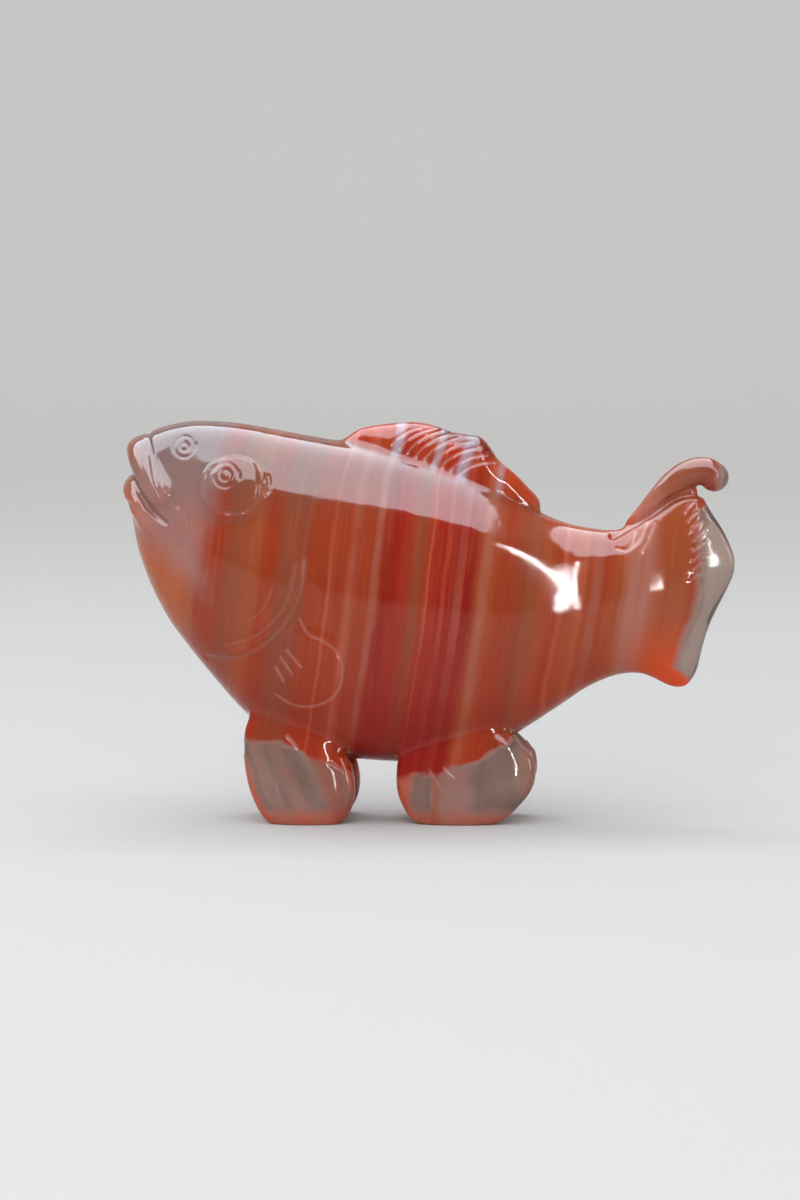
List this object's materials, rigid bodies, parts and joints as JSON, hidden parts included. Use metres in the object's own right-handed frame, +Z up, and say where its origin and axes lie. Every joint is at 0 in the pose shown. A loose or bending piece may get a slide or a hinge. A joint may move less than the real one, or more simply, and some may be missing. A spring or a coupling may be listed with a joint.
{
  "type": "fish figurine",
  "caption": "Small polished banded-agate fish carving that stands on its paired fins, with a swept-up tail, a low dorsal fin and round ringed eyes",
  "frame": {"origin": "Middle of the length and of the thickness, on the surface that the figurine stands on, at the height of the soles.", "axes": "+X runs along the fish from the snout, at -X, to the tail; +Y runs across it, so the flank in the picture faces -Y; +Z is up."},
  "size_m": [0.0602, 0.0166, 0.0392],
  "materials": {
    "banded_agate": "polished",
    "clear_agate": "polished",
    "eye_agate": "polished"
  },
  "bodies": {
    "root": {"body": "banded_agate", "dorsal_fin": "banded_agate", "tail_fan": "clear_agate", "tail_upper_lobe": "banded_agate", "upper_lip": "banded_agate", "lower_lip": "banded_agate", "eye_left": "eye_agate", "eye_right": "eye_agate", "gill_cover_left": "banded_agate", "gill_cover_right": "banded_agate", "pectoral_fin_left": "banded_agate", "pectoral_fin_right": "banded_agate", "pelvic_fin_left": "clear_agate", "pelvic_fin_right": "clear_agate", "anal_fin_left": "clear_agate", "anal_fin_right": "clear_agate"}
  },
  "joints": []
}
